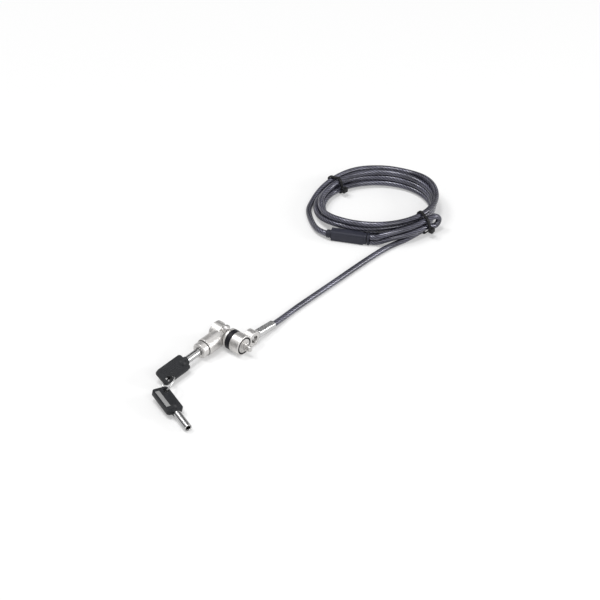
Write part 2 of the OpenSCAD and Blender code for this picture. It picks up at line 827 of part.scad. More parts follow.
// A bar along X from x0 to x1, w wide and h high, with corners of radius r
module round_bar(x0, x1, w, h, r) {
  translate([x0, 0, 0]) rotate([90, 0, 90])
    linear_extrude(height = x1 - x0) {
      translate([-w / 2 + r, 0]) square([w - 2 * r, h]);
      translate([-w / 2, r]) square([w, h - 2 * r]);
      for (x = [-1, 1], y = [r, h - r]) translate([x * (w / 2 - r), y]) circle(r = r);
    }
}

module crimp_cover() {
  mid = cover_h / 2;
  step = 0.7;
  rib = cover_neck / 6;
  color(black)
    cover_frame()
      difference() {
        union() {
          round_bar(-cover_len / 2, cover_len / 2 - 1.4, cover_w, cover_h, 2.2);
          translate([0, 0, step])
            round_bar(cover_len / 2 - 2, ring_end - 1.8, cover_w - 2 * step, cover_h - 2 * step, 2);
          translate([0, 0, step / 2])
            round_bar(ring_end - 2, ring_end, cover_w - step, cover_h - step, 2.4);
          translate([0, 0, mid]) {
            x_cyl(neck_r - 0.6, neck_end, -cover_len / 2 + 1);
            for (i = [0 : 2])
              x_cyl(neck_r, neck_end + 2 * i * rib + rib / 2, neck_end + 2 * i * rib + 3 * rib / 2);
          }
        }
        translate([0, 0, mid]) x_cyl(sleeve_r, -cover_len / 3, cover_len / 3);
        for (s = [-1, 1])
          translate([-cover_len / 2 + 3, s * (cover_w / 2) - 0.3, mid - 2.2])
            cube([cover_len - 8, 0.6, 4.4]);
      }
}

// A strap around the places p in the frame of the tie at bearing b
module strap(b, p) {
  translate(tie_at(b)) rotate([90, 0, b])
    linear_extrude(height = tie_w, center = true)
      difference() {
        hull() for (q = p) translate(q) circle(r = cable_r + strap_gap + tie_t, $fn = 24);
        hull() for (q = p) translate(q) circle(r = cable_r + strap_gap, $fn = 24);
      }
}

// The tie's lock head and its cut end, in the frame of the tie at bearing b
module tie_head(b, x, z) {
  head = [4.2, 5.4, 4.6];
  translate(tie_to(b, x, 0, z)) rotate([0, 0, b]) {
    translate([0, -head[1] / 2, -head[2] / 2]) cube(head);
    translate([head[0] - 1.6, -tie_w / 2 + 0.4, -head[2] / 2 - 1.4]) cube([tie_t, tie_w - 0.8, head[2]]);
  }
}

module front_tie() {
  color(black) {
    strap(front_b, concat(tie_turns(front_b, 3), [lead_place, low_place, high_place]));
    tie_head(front_b, low_place[0] + cable_r + strap_gap + 0.4, low_place[1] - 1);
  }
}

module back_tie() {
  places = tie_turns(back_b, 4);
  color(black) {
    strap(back_b, places);
    tie_head(back_b, -cable_r - strap_gap - 4.6, places[0][1] + 2);
  }
}

nose_core();
t_bar();
tbar_spring();
grip_ring();
collar_clip();
swivel_collar();
swivel_stud();
ferrule();
pivot_block();
hinge_pin();
lock_body();
lock_cylinder();
rotor();
driver_block();
key_pins();
driver_pins();
pin_springs();
retaining_pin();
drive_cam();
return_spring();
key_shank();
key_bow();
key_panel();
spare_shank();
spare_bow();
spare_panel();
key_ring();
cable_lead();
cable_coil();
cable_tail();
anchor_loop();
crimp_sleeve();
crimp_cover();
front_tie();
back_tie();
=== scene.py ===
import math

import bmesh
import bpy
from mathutils import Matrix, Vector


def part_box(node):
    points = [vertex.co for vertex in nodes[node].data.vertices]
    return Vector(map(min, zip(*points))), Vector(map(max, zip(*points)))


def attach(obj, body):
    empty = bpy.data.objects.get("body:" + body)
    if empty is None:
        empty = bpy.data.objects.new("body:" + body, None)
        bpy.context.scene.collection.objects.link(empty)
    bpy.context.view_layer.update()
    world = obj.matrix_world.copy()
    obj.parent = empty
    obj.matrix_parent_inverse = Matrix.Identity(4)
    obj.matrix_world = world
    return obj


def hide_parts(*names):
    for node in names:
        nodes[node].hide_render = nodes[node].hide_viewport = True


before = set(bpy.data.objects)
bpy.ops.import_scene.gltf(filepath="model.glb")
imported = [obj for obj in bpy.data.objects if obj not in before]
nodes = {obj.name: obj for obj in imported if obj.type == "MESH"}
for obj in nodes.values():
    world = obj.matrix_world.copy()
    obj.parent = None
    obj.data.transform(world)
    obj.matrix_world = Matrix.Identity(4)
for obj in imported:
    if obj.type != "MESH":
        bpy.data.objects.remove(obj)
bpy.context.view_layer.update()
scene = bpy.context.scene
mm = 0.001                      # pieces are modelled in millimetres, then set in the frame in metres
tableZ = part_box("crimp_cover")[0].z / mm
print("frame loaded,", len(nodes), "nodes, table at", round(tableZ, 3), "mm")

camera = dict(place=(1.4751, -1.6383, 1.8173), yaw=40.708, pitch=38.687, lens=191.99, near=0.05, far=30)
bpy.ops.object.select_all(action="DESELECT")
bpy.ops.object.camera_add(
    location=camera["place"],
    rotation=(math.radians(90 - camera["pitch"]), 0, math.radians(camera["yaw"])),
)
scene.camera = bpy.context.object
scene.camera.data.lens = camera["lens"]
scene.camera.data.clip_start, scene.camera.data.clip_end = camera["near"], camera["far"]
print("camera set")


def smooth(t):
    t = min(max(t, 0), 1)
    return t * t * (3 - 2 * t)


def polar(bearing):
    return Vector((math.cos(math.radians(bearing)), math.sin(math.radians(bearing)), 0))


# the security cable: angles are degrees turned since the coil's start, bearings are seen from above
cable = dict(
    thick=5.5, clear=0.02,                               # the vinyl's diameter, and its lift off the table
    sides=24, spacing=1.6, passes=24,                    # faces round it, ring spacing, easing
    eye=-4.5, dip=6.4, leave=44.5,                       # where the cable leaves the ferrule
    centre=(-44, 240), axis=42, long=51.5, short=40.5,   # the oval coil
    turns=3.5, startBearing=30, step=15,
    grow=1.2, rise=5.9, pressed=5.52,                    # from turn to turn, and how close two turns press
    side=185, sideOut=5.4, sideSpan=110, besideSpan=70,  # where a turn lies outside the others
    # the last half turn steps outside the others, sinks beside them and comes down to the table
    stepAt=1085, stepOut=5.2, stepSpan=80,
    sinkAt=1105, sinkTurns=1.2, sinkSpan=85,
    drop=1190, dropOut=3, dropBefore=10, dropSpan=60,
    # x, y and height over the table of the lead to the coil and the tail to the cover
    lead=[(-5.2, 60, 0.3), (-5.6, 73, 0), (-5.3, 87, 0), (-4.8, 101, 0), (-4.3, 115, 0), (-3.8, 129, 0),
          (-3.4, 143, 0), (-3.0, 157, 0), (-2.4, 171, 0), (-1.6, 185, 0), (-0.4, 198, 0), (2.0, 210, 0),
          (5.6, 220, 0.3)],
    tail=[(-91.8, 194.8, 0), (-87.6, 191.2, 0), (-82.3, 187.0, 0), (-76.2, 182.9, 0.3),
          (-69.9, 179.3, 1.0), (-64.3, 176.7, 2.0)],
)
loop = dict(spacing=1.2, passes=5, inset=0.15)           # inset: of its two ends in the cover
ties = dict(
    front=-3, back=174,                                  # their bearings on the coil
    frontHead=(0.4, -1), backHead=(-4.6, 2),             # their heads, out from the strap and up
    gap=0.6, thick=1.1, wide=2.8, edge=0.25,             # the strap
    head=(4.2, 4.6, 5.4), headEdge=0.5, slot=(0.7, 0.5),
    end=4.6, endAt=(2.6, -3.7), endInset=0.4, endEdge=0.4,   # the cut-off end of the strap
)
cover = dict(
    at=(-36, 187.2), turn=27.5, long=32, wide=8.6, high=11.4,
    corner=2.2, edge=0.5, shoulder=1.4,
    sidePanel=(0.9, 0.3), topPanel=(0.7, 0.25),          # rim and depth of the sunk panels
    step=dict(long=3.5, inset=0.7, corner=2), stepIn=2,  # the loop's end, with a flange past the step
    flange=dict(long=2, inset=0.35, corner=2.4, edge=0.35), ring=4.3,
    neck=4.7, neckRadius=3.5, neckIn=1,                  # the cable's end, with its ribs
    ribs=3, ribRadius=4.1, ribEdge=0.3,
)
cableZ = tableZ + cable["thick"] / 2 + cable["clear"]


def oval(bearing, grown, z):
    u = (cable["long"] + grown) * math.cos(math.radians(bearing - cable["axis"]))
    v = (cable["short"] + grown) * math.sin(math.radians(bearing - cable["axis"]))
    along = polar(cable["axis"])
    across = polar(cable["axis"] + 90)
    return Vector((*cable["centre"], z)) + u * along + v * across


def bulge(turned, count, span):
    # 1 where turn number count passes the far side, 0 a span of degrees from there
    return smooth(1 - abs(turned - cable["side"] - 360 * count) / span)


def coilHeight(turned):
    down = smooth((turned - cable["drop"]) / (360 * cable["turns"] - cable["drop"]))
    sunk = cable["sinkTurns"] * smooth((turned - cable["sinkAt"]) / cable["sinkSpan"])
    span = cable["besideSpan"]
    level = turned / 360 - sunk - bulge(turned, 1, span) - bulge(turned, 2, span)
    return cableZ + cable["rise"] * level * (1 - down)


def coilWide(turned):
    return (cable["grow"] * turned / 360
            + cable["sideOut"] * bulge(turned, 1, cable["sideSpan"])
            + cable["stepOut"] * smooth((turned - cable["stepAt"]) / cable["stepSpan"])
            + cable["dropOut"] * smooth((turned - cable["drop"] + cable["dropBefore"]) / cable["dropSpan"]))


def coilRest(turned):
    # a turn lies on the ones below it where it can, so that no daylight shows between them
    rests = []
    for i in range(1, math.ceil(cable["turns"])):
        under = turned - 360 * i
        if under >= 0:
            apart = coilWide(turned) - coilWide(under)
            rests.append(coilRest(under) + math.sqrt(max(0, cable["pressed"] ** 2 - apart ** 2)))
    return min(coilHeight(turned), max(rests)) if rests else coilHeight(turned)


def coilPoint(turned):
    return oval(cable["startBearing"] + turned, coilWide(turned), coilRest(turned))


def tiePoint(bearing, outward, along, z):
    start = oval(bearing, 0, 0)
    return start + outward * polar(bearing) + along * polar(bearing + 90) + Vector((0, 0, z))


def coverPoint(x, y, z):
    place = Vector((*cover["at"], tableZ + z))
    return place + x * polar(cover["turn"]) + y * polar(cover["turn"] + 90)


def flatWay(first, second):
    return (second - first).to_2d().to_3d().normalized()


# in the front tie, outside the coil: the lead and the loop's lower and upper strand, as distance and height
leadPlace = (7.2, tableZ + ties["thick"] + ties["gap"] + cable["thick"] / 2 + 0.05)
lowPlace = (11.3, leadPlace[1] + 5.2)
highPlace = (9.2, lowPlace[1] + 5.8)


def cableRoute():
    thick = cable["thick"]
    dip = math.radians(cable["dip"])
    away = Vector((0, math.cos(dip), -math.sin(dip)))
    start = Vector((cable["eye"], 0, 0)) + cable["leave"] * away
    tied = [(6.6, -12), (leadPlace[0] + 0.3, -4), (leadPlace[0] - 0.6, 3)]
    steps = int(360 * cable["turns"] / cable["step"])
    coil = [coilPoint(cable["step"] * i) for i in range(steps + 1)]
    into, onward = flatWay(coil[0], coil[1]), flatWay(coil[-2], coil[-1])
    neckEnd = -cover["long"] / 2 - cover["neck"]
    return (
        [start, start + thick * away]
        + [Vector((x, y, cableZ + lift)) for x, y, lift in cable["lead"]]
        + [tiePoint(ties["front"], outward, along, leadPlace[1]) for outward, along in tied]
        + [coil[0] - 2 * thick * into, coil[0] - thick * into]
        + coil
        + [coil[-1] + thick * onward, coil[-1] + 1.5 * thick * onward]
        + [Vector((x, y, cableZ + lift)) for x, y, lift in cable["tail"]]
        + [coverPoint(neckEnd - thick / 2, 0, cover["high"] / 2), coverPoint(neckEnd, 0, cover["high"] / 2)]
    )


def loopRoute():
    thick = cable["thick"]
    low = thick / 2 + loop["inset"]
    high = cover["high"] - low
    ringEnd = cover["long"] / 2 + cover["ring"]
    upper, lower = highPlace[1], lowPlace[1]
    # out from the coil, along it and the height: through the tie, round the tip and back under the first
    strands = [(-8.0, -42.0, 2.3), (-2.6, -34.6, 4.3), (3.0, -24.8, 5.8), (6.4, -14.7, upper - 0.2),
               (8.4, -5, upper), (highPlace[0] + 0.2, 1, upper + 0.2), (10.2, 5, upper + 0.2),
               (11.2, 9.4, 7.0), (12.3, 13.3, 5.2), (13.1, 15.0, 2.4), (13.5, 13.6, -0.6), (13.3, 9.6, -2.8),
               (12.0, 4.8, -1.4), (lowPlace[0], 0.5, lower - 0.2), (10, -7, lower + 0.3), (8.2, -14.9, 0.4),
               (4.2, -24.8, 0.0), (-1.5, -34.7, -1.0), (-7.4, -41.1, -3.8)]
    return (
        [coverPoint(ringEnd, 0, high), coverPoint(ringEnd + thick, 0, high)]
        + [tiePoint(ties["front"], *p) for p in strands]
        + [coverPoint(ringEnd + thick, 0, low), coverPoint(ringEnd, 0, low)]
    )


def throughPoints(points, spacing):
    # a smooth line through the points, with its tangents taken from the points beside each
    at = [0.0]
    for a, b in zip(points, points[1:]):
        at.append(at[-1] + (b - a).length)
    last = len(points) - 1
    way = []
    for i in range(last + 1):
        before, after = max(i - 1, 0), min(i + 1, last)
        way.append((points[after] - points[before]) / (at[after] - at[before]))
    line = []
    for i in range(last):
        span = at[i + 1] - at[i]
        count = max(1, round(span / spacing))
        for k in range(count):
            t = k / count
            line.append(
                (2 * t**3 - 3 * t**2 + 1) * points[i] + (t**3 - 2 * t**2 + t) * span * way[i]
                + (3 * t**2 - 2 * t**3) * points[i + 1] + (t**3 - t**2) * span * way[i + 1]
            )
    return line + [points[-1]]


def eased(line, passes, kept=2):
    # a stiff cable takes no kink: each point moves towards its neighbours, apart from the two ends
    for _ in range(passes):
        trios = zip(line[kept - 1:], line[kept:], line[kept + 1:-kept + 1])
        line = line[:kept] + [(a + 2 * b + c) / 4 for a, b, c in trios] + line[-kept:]
    return line


def sweptTube(name, line, radius, sides):
    # a tube along the line that doesn't twist, with a UV map: turns round it, metres along it
    last = len(line) - 1
    heading = [(line[min(i + 1, last)] - line[max(i - 1, 0)]).normalized() for i in range(last + 1)]
    side = heading[0].cross(Vector((0, 0, 1))).normalized()
    rings, along = [], [0.0]
    for i, p in enumerate(line):
        if i:
            side = (side - side.dot(heading[i]) * heading[i]).normalized()
            along.append(along[-1] + (p - line[i - 1]).length)
        up = side.cross(heading[i])
        rings += [p + radius * (math.cos(a) * side + math.sin(a) * up)
                  for a in (2 * math.pi * k / sides for k in range(sides))]
    faces, places = [], []
    for i in range(last):
        for k in range(sides):
            n = (k + 1) % sides
            faces.append((i * sides + k, (i + 1) * sides + k, (i + 1) * sides + n, i * sides + n))
            places += [(k / sides, along[i]), (k / sides, along[i + 1]),
                       ((k + 1) / sides, along[i + 1]), ((k + 1) / sides, along[i])]
    endRing = [last * sides + k for k in reversed(range(sides))]
    for cap, at in ((range(sides), 0), (endRing, along[-1])):
        faces.append(tuple(cap))
        places += [(0, at)] * sides
    mesh = bpy.data.meshes.new(name)
    mesh.from_pydata([p * mm for p in rings], [], faces)
    uv = mesh.uv_layers.new(name="lay")
    uv.data.foreach_set("uv", [v * scale for u in places for v, scale in zip(u, (1, mm))])
    mesh.polygons.foreach_set("use_smooth", [len(f) == 4 for f in faces])
    piece = bpy.data.objects.new(name, mesh)
    scene.collection.objects.link(piece)
    return piece


cableLine = eased(throughPoints(cableRoute(), cable["spacing"]), cable["passes"])
loopLine = eased(throughPoints(loopRoute(), loop["spacing"]), loop["passes"])
securityCable = sweptTube("securityCable", cableLine, cable["thick"] / 2, cable["sides"])
anchorLoop = sweptTube("anchorLoop", loopLine, cable["thick"] / 2, cable["sides"])
print("cords made:", len(cableLine), "and", len(loopLine), "rings")


class Wire:                     # a node's output, with Python arithmetic on it
    def __init__(self, finish, socket):
        self.finish, self.socket = finish, socket

    def maths(self, operation, *values):
        return self.finish.add("ShaderNodeMath", {"operation": operation}, dict(enumerate(values)))

    def __add__(self, other): return self.maths("ADD", self, other)
    def __radd__(self, other): return self.maths("ADD", other, self)
    def __sub__(self, other): return self.maths("SUBTRACT", self, other)
    def __rsub__(self, other): return self.maths("SUBTRACT", other, self)
    def __mul__(self, other): return self.maths("MULTIPLY", self, other)
    def __rmul__(self, other): return self.maths("MULTIPLY", other, self)
    def __truediv__(self, other): return self.maths("DIVIDE", self, other)
    def __rtruediv__(self, other): return self.maths("DIVIDE", other, self)
    def __pow__(self, other): return self.maths("POWER", self, other)
    def __rpow__(self, other): return self.maths("POWER", other, self)
    def __abs__(self): return self.maths("ABSOLUTE", self)
    def sine(self): return self.maths("SINE", self)

    def above(self, low, high):     # 0 below low, 1 above high, smooth between
        return self.finish.add("ShaderNodeMapRange", {"interpolation_type": "SMOOTHSTEP"},
                               {"Value": self, "From Min": low, "From Max": high})


class Finish:                   # a material and its nodes
    def __init__(self, name, tree=None):
        if tree is None:
            self.material = bpy.data.materials.new(name)
            self.material.use_nodes = True
            tree = self.material.node_tree
        self.tree = tree
        tree.nodes.clear()

    def add(self, kind, settings=None, sockets=None, out=0):
        node = self.tree.nodes.new(kind)
        for key, value in (settings or {}).items():
            setattr(node, key, value)
        for key, value in (sockets or {}).items():
            if isinstance(value, Wire):
                self.tree.links.new(value.socket, node.inputs[key])
            else:
                node.inputs[key].default_value = value
        return Wire(self, node.outputs[out]) if len(node.outputs) else None

    def place(self): return self.add("ShaderNodeTexCoord", out="Object")

    def part(self, vector, axis): return self.add("ShaderNodeSeparateXYZ", None, {0: vector}, out=axis)

    def noise(self, scale, detail=3, rough=0.55):
        return self.add("ShaderNodeTexNoise", {"noise_dimensions": "3D"},
                        {"Vector": self.place(), "Scale": scale, "Detail": detail, "Roughness": rough})

    def blend(self, amount, first, second):
        return self.add("ShaderNodeMix", {"data_type": "RGBA"}, {0: amount, 6: first, 7: second}, out=2)

    def vectorMaths(self, operation, first, second=(0, 0, 0), out=0):
        return self.add("ShaderNodeVectorMath", {"operation": operation}, {0: first, 1: second}, out)

    def fromAxis(self, vector, axis):
        # the distance from an axis through the origin
        keep = tuple(0 if i == axis else 1 for i in range(3))
        return self.vectorMaths("LENGTH", self.vectorMaths("MULTIPLY", vector, keep), out="Value")

    def edges(self, radius):
        # the rounded normal of an edge, and how far it leans from the face's own
        rounded = self.add("ShaderNodeBevel", {"samples": 6}, {"Radius": radius})
        flat = self.add("ShaderNodeNewGeometry", out="Normal")
        return rounded, 1 - self.vectorMaths("DOT_PRODUCT", rounded, flat, out="Value")

    def band(self, value, start, end, soft):
        # 1 between start and end
        return value.above(start, start + soft) * (1 - value.above(end - soft, end))

    def ringShade(self, inner, outer, front, soft):
        # 1 in a ring round the X axis, between two radii and before a depth: where painted shade goes
        place = self.place()
        depth = self.part(place, 0)
        return self.band(self.fromAxis(place, 0), inner, outer, soft) * depth.above(front - soft, front)

    def bump(self, height, depth, normal=None, strength=1.0):
        sockets = {"Height": height, "Distance": depth, "Strength": strength}
        if normal is not None:
            sockets["Normal"] = normal
        return self.add("ShaderNodeBump", None, sockets)

    def close(self, sockets):
        shader = self.add("ShaderNodeBsdfPrincipled", None, sockets)
        self.add("ShaderNodeOutputMaterial", None, {"Surface": shader})
        return self.material


def colour(red, green, blue): return (red, green, blue, 1)


def turnedLines(finish, look):
    # fine turning lines round an axis, on the rims by their place along it and on the faces by radius
    local = finish.vectorMaths("SUBTRACT", finish.place(), look["centre"])
    radius = finish.fromAxis(local, look["axis"])
    along = finish.part(local, look["axis"])
    wander = finish.noise(look["wanderSize"], 2)
    return ((along + radius) * (2 * math.pi / look["pitch"]) + wander * look["wander"]).sine()


def nickel(name, look):
    # satin plated metal: fine blasted grain, faint turning lines, smudges and bright worn edges
    finish = Finish(name)
    grain = finish.noise(look["grainSize"], 4, 0.65)
    smudge = finish.noise(look["smudgeSize"], 3)
    fleck = finish.noise(look["fleckSize"], 5, 0.6)
    rounded, edge = finish.edges(look["round"])
    worn = (edge * look["wear"] * (fleck + 0.35)).above(0.15, 0.9)
    height = grain * look["grain"]
    if "axis" in look:
        height = height + turnedLines(finish, look) * look["lines"]
    tone = finish.blend(smudge.above(0.35, 0.7), look["colour"], look["smudged"])
    tone = finish.blend(worn, tone, look["bright"])
    # painted shade: the ring on the nose's front, between core and collar, is darkened as shade in that
    # recess
    if "gap" in look:
        tone = finish.blend(finish.ringShade(**look["gap"]), tone, look["dark"])
    # painted shade: a dark band round the cylinder where it enters the body, in place of the joint's shadow
    if "seamShade" in look:
        tone = finish.blend(finish.band(finish.part(finish.place(), 1), **look["seamShade"]), tone, look["dark"])
    bySmudge, byGrain, byWear = look["uneven"]
    return finish.close({
        "Base Color": tone,
        "Metallic": 1.0,
        "Roughness": look["rough"] + (smudge - 0.5) * bySmudge + (grain - 0.5) * byGrain - worn * byWear,
        "Normal": finish.bump(height, look["deep"], rounded, look["depth"]),
    })


def moulded(name, look):
    # moulded plastic or rubber: a fine spark texture, dusty hollows, rubbed edges
    finish = Finish(name)
    spark = finish.noise(look["texture"], 4, 0.7)
    cloud = finish.noise(look["cloudSize"], 4)
    scuff = finish.noise(look["scuffSize"], 3)
    rounded, edge = finish.edges(look["round"])
    rubbed = (edge * look["wear"] * (scuff + 0.3)).above(0.2, 1.0)
    tone = finish.blend(cloud.above(0.3, 0.75), look["colour"], look["dusty"])
    return finish.close({
        "Base Color": finish.blend(rubbed * look["rub"], tone, look["rubbed"]),
        "Roughness": look["rough"] + (cloud - 0.5) * 0.2 + (spark - 0.5) * 0.1,
        "Normal": finish.bump(spark, look["deep"], rounded),
        "Specular IOR Level": look["shine"],
    })


def smokedVinyl(name, look):
    # clear smoked vinyl over a stranded steel rope: strands and wires below, a smooth coat above
    finish = Finish(name)
    lay = finish.add("ShaderNodeUVMap", {"uv_map": "lay"})
    around, along = finish.part(lay, 0), finish.part(lay, 1)
    cloud, speck = finish.noise(look["cloudSize"], 3), finish.noise(look["speckSize"], 4, 0.6)
    strand = abs(((around + along / look["layLength"]) * (math.pi * look["strands"])).sine())
    wire = abs(((around * look["wires"] - along / look["wireRun"]) * math.pi).sine())
    ridge = look["groove"] + strand ** 0.75 * (1 - look["groove"])
    glint = ridge * (0.5 + wire * 0.5) * (0.7 + speck * 0.6)
    tone = finish.blend(cloud.above(0.3, 0.7), look["steel"], look["steelDim"])
    return finish.close({
        "Base Color": finish.blend(glint.above(0.3, 1.0), look["smoke"], tone),
        "Metallic": look["metal"],
        "Roughness": look["rough"] - glint * 0.14 + (cloud - 0.5) * 0.1,
        "Normal": finish.bump(ridge + wire * 0.3, look["deep"], None, look["depth"]),
        "Coat Weight": look["coat"],
        "Coat Roughness": look["gloss"],
        "Specular IOR Level": look["shine"],
    })


# sizes are noise scales, and lengths are in metres, as materials read the frame
satin = dict(
    colour=colour(0.63, 0.615, 0.60), smudged=colour(0.55, 0.54, 0.53), bright=colour(0.80, 0.79, 0.77),
    dark=colour(0.015, 0.015, 0.017), rough=0.38, uneven=(0.16, 0.08, 0.07), round=0.0004, wear=9,
    grain=0.8, grainSize=2400, smudgeSize=90, fleckSize=700, deep=0.00006, depth=0.35,
    lines=0.25, pitch=0.00024, wander=5, wanderSize=2600, centre=(0, 0, 0),
)
polished = dict(satin, colour=colour(0.56, 0.56, 0.56), smudged=colour(0.50, 0.50, 0.505),
                rough=0.17, round=0.0002, grain=0.25, lines=0.2, depth=0.2)
tube = dict(polished, colour=colour(0.44, 0.44, 0.44), smudged=colour(0.39, 0.39, 0.395), rough=0.14)
onBarrel = dict(axis=1, centre=(-0.0263, 0, -0.001))
metals = {
    # the gap ring on the nose's front is painted dark as shade, not a dark material
    "noseNickel": dict(satin, axis=0, gap=dict(inner=0.0067, outer=0.0084, front=-0.0016, soft=0.00012)),
    "castNickel": dict(satin, **onBarrel, rough=0.40, grain=1.0, round=0.0005),
    # the seam band is painted shade where the cylinder enters the body
    "cylinderNickel": dict(satin, **onBarrel, seamShade=dict(start=-0.0256, end=-0.0246, soft=0.00015)),
    "ferruleSteel": dict(polished, axis=1, rough=0.24),
    "tubeSteel": dict(tube, **onBarrel),
    "spareSteel": tube,
    "pinSteel": dict(satin, axis=2, centre=(-0.0212, 0, 0),
                     colour=colour(0.54, 0.53, 0.52), smudged=colour(0.46, 0.45, 0.45)),
    "slotSteel": dict(satin, axis=0, colour=colour(0.50, 0.49, 0.48), rough=0.3),
    "springSteel": dict(polished, colour=colour(0.42, 0.42, 0.44), rough=0.3),
    "coreBrass": dict(satin, **onBarrel, rough=0.28, colour=colour(0.72, 0.50, 0.22),
                      smudged=colour(0.55, 0.36, 0.15), bright=colour(0.86, 0.66, 0.36)),
}
plastic = dict(rough=0.42, shine=0.3, cloudSize=120, scuffSize=1500, wear=7, rub=0.6,
               deep=0.00003, round=0.0004)
mouldings = {
    "gripRubber": dict(plastic, colour=colour(0.006, 0.006, 0.009), dusty=colour(0.010, 0.010, 0.014),
                       rubbed=colour(0.03, 0.03, 0.036), shine=0.2, texture=2600),
    "bowPlastic": dict(plastic, colour=colour(0.009, 0.010, 0.012), dusty=colour(0.015, 0.016, 0.019),
                       rubbed=colour(0.045, 0.046, 0.05), rough=0.46, texture=3200, round=0.0003),
    "coverVinyl": dict(plastic, colour=colour(0.023, 0.024, 0.037), dusty=colour(0.031, 0.032, 0.047),
                       rubbed=colour(0.05, 0.05, 0.065), rough=0.5, texture=2200),
    "tieNylon": dict(plastic, colour=colour(0.006, 0.006, 0.007), dusty=colour(0.010, 0.010, 0.011),
                     rubbed=colour(0.03, 0.03, 0.03), shine=0.2, texture=3000, deep=0.00002, round=0.0002),
    "panelFoil": dict(plastic, colour=colour(0.30, 0.30, 0.30), dusty=colour(0.26, 0.26, 0.26),
                      rubbed=colour(0.45, 0.45, 0.45), rough=0.5, texture=4200, deep=0.00002, round=0.0001),
}
vinyl = dict(
    smoke=colour(0.004, 0.004, 0.008),
    steel=colour(0.17, 0.17, 0.235), steelDim=colour(0.062, 0.062, 0.088),
    strands=7, layLength=0.026, wires=30, wireRun=0.0021, groove=0.24, cloudSize=45, speckSize=1300,
    metal=0.5, rough=0.42, shine=0.1, coat=1.0, gloss=0.18, deep=0.00012, depth=0.45,
)
finishes = {name: nickel(name, look) for name, look in metals.items()}
finishes.update({name: moulded(name, look) for name, look in mouldings.items()})
finishes["cableVinyl"] = smokedVinyl("cableVinyl", vinyl)

nodeFinish = {
    "noseNickel": ["nose_core", "swivel_collar"],
    "castNickel": ["lock_body", "pivot_block"],
    "cylinderNickel": ["lock_cylinder"],
    "ferruleSteel": ["ferrule", "swivel_stud"],
    "tubeSteel": ["key_shank", "drive_cam", "retaining_pin"],
    "spareSteel": ["spare_shank"],
    "pinSteel": ["hinge_pin"],
    "slotSteel": ["t_bar"],
    "springSteel": ["tbar_spring", "return_spring", "pin_springs", "key_pins", "collar_clip",
                    "crimp_sleeve"],
    "coreBrass": ["rotor", "driver_block", "driver_pins"],
    "gripRubber": ["grip_ring"],
    "panelFoil": ["key_panel", "spare_panel"],
}
for finishName, dressed in nodeFinish.items():
    for name in dressed:
        nodes[name].data.materials.clear()
        nodes[name].data.materials.append(finishes[finishName])
print("finishes made:", len(finishes))


def only(piece):
    bpy.ops.object.select_all(action="DESELECT")
    piece.select_set(True)
    bpy.context.view_layer.objects.active = piece


def fixed():
    # the primitive just added, with its place in its mesh
    bpy.ops.object.transform_apply(location=True, rotation=True, scale=True)
    return bpy.context.object


def block(size, low):
    # a cube from its lowest corner
    bpy.ops.object.select_all(action="DESELECT")
    middle = [a + s / 2 for a, s in zip(low, size)]
    bpy.ops.mesh.primitive_cube_add(size=1, location=middle, scale=size)
    return fixed()


def drum(radius, start, end, axis="X", at=(0, 0), endRadius=None, sides=48):
    # a cylinder or cone from start to end along an axis; at is its place across it
    turn = {"X": (0, math.pi / 2, 0), "Z": (0, 0, 0)}[axis]
    middle = (start + end) / 2
    place = {"X": (middle, *at), "Z": (*at, middle)}[axis]
    bpy.ops.object.select_all(action="DESELECT")
    bpy.ops.mesh.primitive_cone_add(vertices=sides, radius1=radius, radius2=endRadius or radius,
                                    depth=end - start, location=place, rotation=turn)
    return fixed()


def ball(radius, at):
    bpy.ops.object.select_all(action="DESELECT")
    bpy.ops.mesh.primitive_uv_sphere_add(segments=64, ring_count=32, radius=radius, location=at)
    return fixed()


def pick(piece, kind, test):
    # select the faces or edges of a piece that pass a test, in edit mode
    only(piece)
    bpy.ops.object.mode_set(mode="EDIT")
    bpy.ops.mesh.select_mode(type={"faces": "FACE", "edges": "EDGE"}[kind])
    bpy.ops.mesh.select_all(action="DESELECT")
    shape = bmesh.from_edit_mesh(piece.data)
    for part in getattr(shape, kind):
        if test(part):
            part.select_set(True)
    shape.select_flush_mode()
    bmesh.update_edit_mesh(piece.data)


def done(): bpy.ops.object.mode_set(mode="OBJECT")


def runs(axis):
    # a test for edges that run along an axis, for more than a millimetre
    return lambda edge: abs(edge.verts[0].co[axis] - edge.verts[1].co[axis]) > 1


def roundEdges(piece, test, width, steps=4):
    pick(piece, "edges", test)
    bpy.ops.mesh.bevel(offset=width, offset_type="OFFSET", segments=steps, affect="EDGES")
    done()


def sink(piece, test, rim, depth):
    # inset a face and push it in
    pick(piece, "faces", test)
    bpy.ops.mesh.inset(thickness=rim, depth=-depth)
    done()


def modify(piece, kind, **settings):
    only(piece)
    bpy.ops.object.modifier_add(type=kind)
    made = piece.modifiers[-1]
    for key, value in settings.items():
        setattr(made, key, value)
    bpy.ops.object.modifier_apply(modifier=made.name)


def cut(piece, tool, operation="DIFFERENCE"):
    modify(piece, "BOOLEAN", operation=operation, object=tool, solver="EXACT")
    bpy.data.objects.remove(tool)


def shade(piece, angle=35):
    only(piece)
    bpy.ops.object.shade_smooth_by_angle(angle=math.radians(angle))


def soften(piece, width, steps=2, angle=40):
    modify(piece, "BEVEL", width=width, segments=steps, limit_method="ANGLE",
           angle_limit=math.radians(angle), miter_outer="MITER_ARC")
    shade(piece)


def join(*parts):
    bpy.ops.object.select_all(action="DESELECT")
    for part in parts:
        part.select_set(True)
    bpy.context.view_layer.objects.active = parts[0]
    bpy.ops.object.join()
    return parts[0]


def settle(piece, name, finish, place, body, slot, *replaced):
    # bring a finished piece from its own millimetres into the frame
    piece.name = piece.data.name = name
    piece.data.transform(place @ Matrix.Scale(mm, 4))
    piece.data.materials.clear()
    piece.data.materials.append(finishes[finish])
    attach(piece, body)
    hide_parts(*replaced)
    return piece


